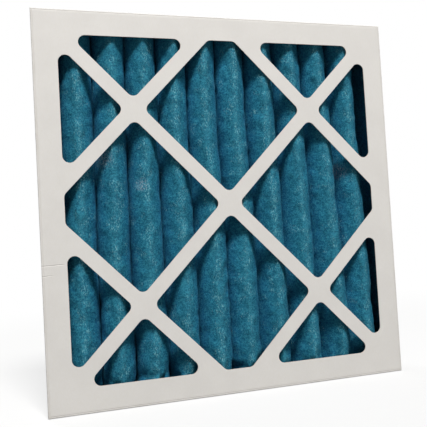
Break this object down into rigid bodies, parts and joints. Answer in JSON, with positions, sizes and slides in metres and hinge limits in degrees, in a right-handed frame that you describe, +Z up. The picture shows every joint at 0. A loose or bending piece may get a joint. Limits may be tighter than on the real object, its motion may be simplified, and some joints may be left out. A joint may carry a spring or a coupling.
{
  "type": "fume extractor pre-filter",
  "caption": "Shallow square panel filter: pleated blue non-woven media in a folded card frame with diagonal straps, the first stage of a fume extractor.",
  "frame": {"origin": "middle of the bottom edge, halfway through the depth", "axes": "X along the width, +Y from the front (air-entering) face to the rear face, +Z up"},
  "size_m": [0.292, 0.045, 0.3],
  "materials": {
    "card": "matt white-faced board",
    "media": "lofty non-woven",
    "wire": "galvanised",
    "glue": "dried adhesive"
  },
  "bodies": {
    "root": {"front_frame": "card", "rear_frame": "card", "filter_media": "media", "support_grid": "wire", "left_seal": "glue", "right_seal": "glue", "top_seal": "glue", "bottom_seal": "glue", "front_strap_adhesive": "glue", "rear_strap_adhesive": "glue"}
  },
  "joints": []
}
